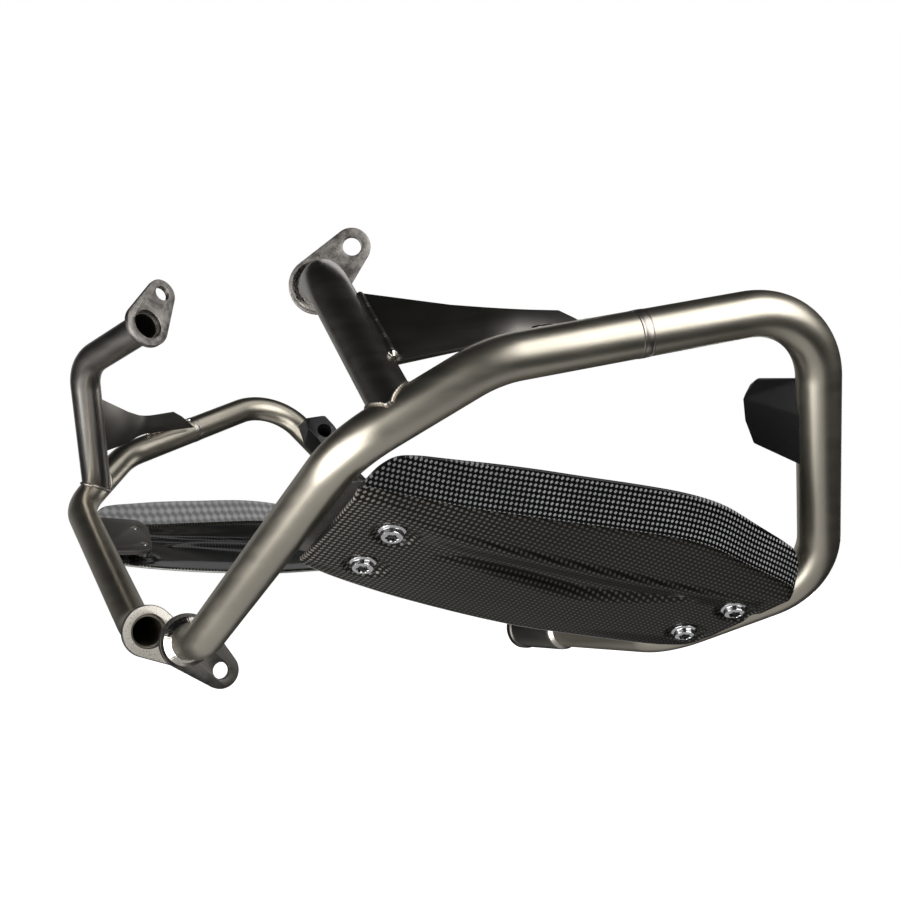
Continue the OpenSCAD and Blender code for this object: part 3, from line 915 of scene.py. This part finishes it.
def wall_weave(s, h):
    """Weave coordinates on the side wall; the cloth is drawn closer towards the rear."""
    return s / 2.7 + 0.035 * max(0.0, s - 130) ** 2 / (s - 90 if s > 130 else 1), h / 2.98


def wall_height(s):
    """Height of the side wall over the fold, round at its rear end."""
    last_s, last_h = WALL_TOP[-1]
    if s <= last_s:
        return at(WALL_TOP, s)
    return max(0.4, last_h * math.sqrt(max(0.0, 1 - ((s - last_s) / (WALL_END - last_s)) ** 2)))


def panel_sections():
    """For each station along the panel, closer together near both ends, two columns of (point, outward
    direction, flat coordinate): one for the face and its turn at the fold, one for the wall."""
    wall_out = PANEL_S.cross(WALL_DIR).normalized()
    sections = []
    s0, s1 = FOLD_LINE[0][0], FOLD_LINE[-1][0]
    b0, b1 = LOWER_EDGE[0][0], LOWER_EDGE[-1][0]
    for i in range(STATIONS + 1):
        f = i / STATIONS
        f -= 0.35 * math.sin(2 * math.pi * f) / (2 * math.pi)
        s_fold = s0 + (s1 - s0) * f
        s_low = b0 + (b1 - b0) * f
        bottom = Vector((s_low, at(LOWER_EDGE, s_low)))
        top = Vector((s_fold, at(FOLD_LINE, s_fold)))
        height = wall_height(s_fold)
        bend = min(3.2, height * 0.45)
        cut = 1 - bend / (top - bottom).length
        face = []
        for k in range(FACE_ROWS + 1):
            x, y = bottom.lerp(top, cut * k / FACE_ROWS)
            face.append((PANEL_FRAME @ Vector((x, y, relief(x, y))), PANEL_N, face_weave(x, y)))
        corner = PANEL_FRAME @ Vector((top.x, top.y, 0))
        start, end = face[-1][0], corner + WALL_DIR * bend
        for k in range(1, TURN_STEPS + 1):
            g = k / TURN_STEPS
            p = start.lerp(corner, g).lerp(corner.lerp(end, g), g)
            outward = PANEL_N.lerp(wall_out, g).normalized()
            face.append((p, outward, face_weave(top.x, top.y - bend + 2 * bend * g)))
        wall = [(*face[-1][:2], wall_weave(top.x, bend))]
        for k in range(1, WALL_ROWS + 1):
            h = bend + (height - bend) * k / WALL_ROWS
            wall.append((corner + WALL_DIR * h, wall_out, wall_weave(top.x, h)))
        sections.append((face, wall))
    return sections


SECTIONS = panel_sections()


def sheet_from(columns, thickness=PANEL_SHEET):
    """A closed sheet from columns of (point, outward direction, flat coordinate), with a round rim."""
    rows, count = len(columns[0]), len(columns)
    outer = [[c[0] for c in column] for column in columns]
    inner = [[c[0] - c[1] * thickness for c in column] for column in columns]
    shape = Shape()
    flat = [c[2] for column in columns for c in column]
    grid = [(i * rows + k, (i + 1) * rows + k, (i + 1) * rows + k + 1, i * rows + k + 1)
            for i in range(count - 1) for k in range(rows - 1)]
    shape.add([p for column in outer for p in column], grid, flat=flat)
    shape.add([p for column in inner for p in column], [f[::-1] for f in grid], flat=flat)
    back = rows * count
    border = ([(i, 0) for i in range(count)] + [(count - 1, k) for k in range(1, rows)]
              + [(i, rows - 1) for i in range(count - 2, -1, -1)]
              + [(0, k) for k in range(rows - 2, 0, -1)])
    loops = [[i * rows + k for i, k in border]]
    for step in (1, 2, 3):
        a = math.pi * step / 4
        ring = []
        for i, k in border:
            o, p = outer[i][k], inner[i][k]
            near = outer[min(count - 2, max(1, i))][min(rows - 2, max(1, k))]
            out = o - near
            n = (o - p).normalized()
            out = (out - n * out.dot(n)).normalized()
            ring.append((o + p) / 2 + (o - p) / 2 * math.cos(a) + out * 0.36 * thickness * math.sin(a))
        base = len(shape.verts)
        shape.add(ring, [], flat=[columns[i][k][2] for i, k in border])
        loops.append(list(range(base, base + len(ring))))
    loops.append([back + i * rows + k for i, k in border])
    size = len(border)
    for a, b in zip(loops, loops[1:]):
        for k in range(size):
            m = (k + 1) % size
            shape.faces.append((a[m], a[k], b[k], b[m]))
    return shape


def carbon_panel():
    """The main face, with its turn at the fold."""
    return sheet_from([face for face, _ in SECTIONS])


def carbon_side_wall():
    """The side wall."""
    return sheet_from([wall for _, wall in SECTIONS])


def lining(columns, coarse):
    """An inner ply, as a thin skin behind its sheet, with a weave so many times as coarse."""
    back = PANEL_SHEET - 0.1
    return sheet_from([[(p - n * back, n, (u / coarse, v / coarse)) for p, n, (u, v) in column]
                       for column in columns], 0.2)


def face_lining():
    """The glossy inner ply of the main face."""
    return lining([face[1:-TURN_STEPS] for face, _ in SECTIONS], 1)


def wall_lining():
    """The matt inner ply of the side wall, whose light grey is painted glare."""
    return lining([wall for _, wall in SECTIONS], 3)


def panel_edge():
    """The trimmed lower edge of the main face as a light line: partly the cut laminate's own colour, partly
    a painted highlight.
    """
    first, last, count = -31, 216, 160
    path = []
    for k in range(count + 1):
        x = first + (last - first) * k / count
        y = at(LOWER_EDGE, x)
        path.append(PANEL_FRAME @ Vector((x, y - 0.5, relief(x, y) - 0.9)))
    return Shape().add(*bead(path, size=0.8, ripple=0.0, pitch=5.0, sides=10))


# The panel screw from its tip over its flange and head into the socket, as (radius, height, lobe)
SCREW_PROFILE = [
    (3.5, -14.0, 0), (4.0, -13.5, 0), (4.0, -0.6, 0), (7.7, -0.5, 0), (8.0, -0.2, 0), (8.0, 0.5, 0),
    (7.8, 0.9, 0), (7.2, 1.25, 0), (6.5, 1.6, 0), (6.3, 1.95, 0), (6.2, 3.5, 0), (6.0, 4.05, 0),
    (5.5, 4.3, 0), (3.5, 4.3, 0.1), (3.25, 4.1, 0.12), (3.1, 0.2, 0.12), (2.6, -4.0, 0.08),
    (0.5, -6.0, 0)]


def panel_screws(places):
    """Flange screws with six-lobed sockets."""
    shape = Shape()
    for i, (x, y) in enumerate(places):
        place = PANEL_FRAME @ Matrix.Translation((x, y, 0)) @ Matrix.Rotation(0.3 + i, 4, "Z")
        shape.add(*lathe(SCREW_PROFILE, sides=96, lobes=6), place)
    return shape


def panel_nuts(places):
    """Round weld nuts between the panel and its bracket."""
    shape = Shape()
    top, low = -PANEL_SHEET - 0.7, BRACKET_N + BRACKET_T
    for x, y in places:
        verts, faces = ring_lathe([(4.05, low), (7.0, low), (7.0, top - 0.8), (6.3, top), (4.05, top)], 48)
        shape.add(verts, faces, PANEL_FRAME @ Matrix.Translation((x, y, 0)))
    return shape


# ---- the bumper block

def block_frame():
    """The block's frame: y up the rear tube from the heel, x inwards from the tube's axis."""
    y = (REAR_CORNER - REAR_HEEL).normalized()
    inward = Vector((0, -1, 0))
    x = (inward - y * inward.dot(y)).normalized()
    return frame_at(REAR_HEEL, x, y, x.cross(y))


# The block's outlines at its full width and at its ridge; its screw's frame, seat and shank
BLOCK_LOW = [(2, 84), (38, 88), (44, 102), (45, 116.5), (2, 117)]
BLOCK_TOP = [(2, 90), (45, 123), (40, 128), (11, 135.5), (2, 136.5)]
BLOCK_SCREW_FRAME = Matrix.Translation((0, 104, 0)) @ Matrix.Rotation(math.pi / 2, 4, "Y")
SEAT_R, SEAT_X = 7.5, 18.0
SHANK_R = 3.3


def cylinder_mesh(matrix, radius, low, high, sides):
    """A plain round cutter."""
    verts, faces = lathe([(radius, low, 0), (radius, high, 0)], sides)
    mesh = bpy.data.meshes.new("cutter")
    mesh.from_pydata([matrix @ v for v in verts], [], faces)
    return add_object("cutter", mesh)


def bumper_block():
    """Moulded block: rounded facets, a groove for the tube and a sunk seat for its screw."""
    bm = bmesh.new()
    for outline, near, far in ((BLOCK_LOW, -12, 12), (BLOCK_TOP, -5, -3)):
        for x, y in outline:
            for z in (near, far):
                bm.verts.new((x, y, z))
    bmesh.ops.convex_hull(bm, input=bm.verts)
    bmesh.ops.delete(bm, geom=[v for v in bm.verts if not v.link_faces], context="VERTS")
    bmesh.ops.dissolve_limit(bm, angle_limit=math.radians(4), verts=bm.verts, edges=bm.edges)
    cutters = (cylinder_mesh(Matrix.Rotation(-math.pi / 2, 4, "X"), TUBE_R + 0.1, 40, 170, 64),
               cylinder_mesh(BLOCK_SCREW_FRAME, SEAT_R, SEAT_X, 70, 48),
               cylinder_mesh(BLOCK_SCREW_FRAME, SHANK_R, -5, 30, 32))
    verts, faces = evaluated(bm, [
        ("BEVEL", {"width": 1.4, "segments": 3, "limit_method": "ANGLE", "angle_limit": math.radians(9)}),
        *[("BOOLEAN", {"operation": "DIFFERENCE", "object": c, "solver": "EXACT"}) for c in cutters]])
    for cutter in cutters:
        bpy.data.objects.remove(cutter)
    return Shape().add(verts, faces, block_frame())


def bumper_screw():
    """The block's cap screw, in its sunk seat."""
    profile = [(2.9, TUBE_R + 0.3, 0), (3.0, TUBE_R + 0.6, 0), (3.0, SEAT_X, 0), (4.7, SEAT_X, 0),
               (5.0, 18.4, 0), (5.0, 22.4, 0), (4.6, 23.0, 0), (2.6, 23.0, 0), (2.5, 22.8, 0.07),
               (2.5, 20.2, 0.07)]
    return Shape().add(*lathe(profile, sides=72, lobes=6), block_frame() @ BLOCK_SCREW_FRAME)


# ---- setting both guards down

def build(side):
    """Makes and places every piece of one guard."""
    upper, lower = (upper_frame(), UPPER_REACH, UPPER_HOLE), (lower_frame(), LOWER_REACH, LOWER_HOLE)
    dark_weld, bright_weld = gusset_welds()
    put("front_tube", front_tube(), side, TITANIUM)
    put("rear_tube", rear_tube(), side, TITANIUM)
    put("tube_joint_weld", tube_joint_weld(), side, JOINT)
    put("strut_tube", strut_tube(side), side, STRUT_METAL_PAINTED_SHADE)
    put("strut_foot_weld", strut_foot_weld(), side, JOINT)
    put("upper_mount_plate", mount_plate(*upper), side, PLATE_METAL)
    put("lower_mount_plate", mount_plate(*lower), side, DARK_PLATE)
    put("upper_mount_face", mount_face(*upper), side, PLATE_METAL, nodes=())
    # The lower mount face's near-white colour is a painted highlight.
    put("lower_mount_face", mount_face(*lower), side, MACHINED_PAINTED_HIGHLIGHT, nodes=())
    put("upper_collar_weld", collar_weld(upper[0]), side, WELD)
    put("lower_collar_weld", collar_weld(lower[0]), side, WELD)
    put("rear_mount_boss", rear_mount_boss(), side, BOSS_METAL)
    put("boss_weld", boss_weld(), side, JOINT, nodes=())
    put("gusset", gusset(), side, GUSSET, nodes=("gusset_plate", "gusset_flange"))
    # The bead beside the strut takes the strut's darkened titanium, so part of its darkness is painted
    # shade.
    put("gusset_seam_weld", dark_weld, side, STRUT_METAL_PAINTED_SHADE, nodes=())
    put("gusset_bright_weld", bright_weld, side, WELD, nodes=())
    put("front_panel_bracket", front_panel_bracket(), side, BRACKET)
    put("rear_panel_bracket", rear_panel_bracket(), side, BRACKET)
    put("carbon_panel", carbon_panel(), side, CARBON_FACE, smooth=50)
    put("carbon_side_wall", carbon_side_wall(), side, CARBON_WALL, smooth=50)
    put("face_lining", face_lining(), side, INSIDE, nodes=(), smooth=50)
    put("wall_lining", wall_lining(), side, LINING_PAINTED_GLARE, nodes=(), smooth=50)
    put("panel_edge", panel_edge(), side, EDGE_AND_HIGHLIGHT, nodes=())
    for end, places in (("front", FRONT_SCREWS), ("rear", REAR_SCREWS)):
        put(f"{end}_panel_screws", panel_screws(places), side, SCREW)
        put(f"{end}_panel_nuts", panel_nuts(places), side, NUT)
    put("bumper_block", bumper_block(), side, RUBBER, smooth=25)
    put("bumper_screw", bumper_screw(), side, BLOCK_SCREW)


for name in PLACE:
    build(name)


# ---- stage, light and camera

# Metres from here on. Lights: name, azimuth, elevation, distance, width, height, power, shape
CENTRE = Vector((-0.15, 0, 0.12))
LIGHTS = (
    ("side", 108, 20, 1.4, 1.3, 1.5, 15, "ELLIPSE"),
    ("front", 15, -20, 1.4, 1.55, 1.6, 26, "RECTANGLE"),
    ("bounce", 20, -80, 1.0, 1.8, 1.8, 4, "RECTANGLE"),
    ("over", 222, 63, 0.46, 0.3, 0.3, 0.22, "ELLIPSE"),
    ("back", -98, 12, 1.4, 1.9, 1.2, 2.0, "ELLIPSE"),
    ("tail", 199, -2, 1.06, 0.5, 0.5, 1.5, "ELLIPSE"),
)
CAMERA_AT = Vector((0.2053, 0.780, 0.0455))
CAMERA_VIEW = Vector((-0.484, -0.870, 0.099))
CAMERA_UP = Vector((0, 0.113, 0.994))


def floor():
    """A pale floor just under the object, which neither shows in it nor lights it."""
    reach = 6.0
    z = cad_box[0][2] - 0.0005
    mesh = bpy.data.meshes.new("floor")
    mesh.from_pydata([(-reach, -reach, z), (reach, -reach, z), (reach, reach, z), (-reach, reach, z)], [],
                     [(0, 1, 2, 3)])
    n = Nodes("pale_floor")
    n.set(Base_Color=(0.86, 0.86, 0.86), Roughness=0.8)
    n.set(Emission_Color=(1.0, 1.0, 1.0), Emission_Strength=1.0)
    mesh.materials.append(n.material)
    piece = add_object("floor", mesh)
    piece.visible_glossy = False
    piece.visible_diffuse = False
    piece.visible_shadow = False


def softbox(name, azimuth, elevation, distance, width, height, power, shape):
    """A studio light that looks at the object; angles in degrees, azimuth from +X towards +Y."""
    data = bpy.data.lights.new(name, "AREA")
    data.shape = shape
    data.size, data.size_y = width, height
    data.energy = power
    lamp = add_object(name, data)
    az, el = math.radians(azimuth), math.radians(elevation)
    d = Vector((math.cos(el) * math.cos(az), math.cos(el) * math.sin(az), math.sin(el)))
    lamp.location = CENTRE + d * distance
    lamp.rotation_euler = d.to_track_quat("Z", "Y").to_euler()
    lamp.visible_camera = False


def world():
    """White behind the object, dim for everything that it lights."""
    scene_world = bpy.data.worlds.new("studio")
    bpy.context.scene.world = scene_world
    scene_world.use_nodes = True
    tree = scene_world.node_tree
    out = tree.nodes["World Output"]
    dim = tree.nodes["Background"]
    dim.inputs["Color"].default_value = (0.85, 0.92, 1, 1)
    dim.inputs["Strength"].default_value = 0.008
    white = tree.nodes.new("ShaderNodeBackground")
    white.inputs["Color"].default_value = (1, 1, 1, 1)
    path = tree.nodes.new("ShaderNodeLightPath")
    mix = tree.nodes.new("ShaderNodeMixShader")
    tree.links.new(path.outputs["Is Camera Ray"], mix.inputs["Fac"])
    tree.links.new(dim.outputs[0], mix.inputs[1])
    tree.links.new(white.outputs[0], mix.inputs[2])
    tree.links.new(mix.outputs[0], out.inputs["Surface"])


def camera():
    """The photo's viewpoint."""
    data = bpy.data.cameras.new("camera")
    data.lens = 44.0
    data.sensor_width = 36.0
    data.clip_start = 0.01
    holder = add_object("camera", data)
    view = CAMERA_VIEW.normalized()
    right = view.cross(CAMERA_UP).normalized()
    holder.matrix_world = frame_at(CAMERA_AT, right, right.cross(view), -view)
    bpy.context.scene.camera = holder


floor()
for light in LIGHTS:
    softbox(*light)
world()
camera()
bpy.context.scene.view_settings.view_transform = "Standard"
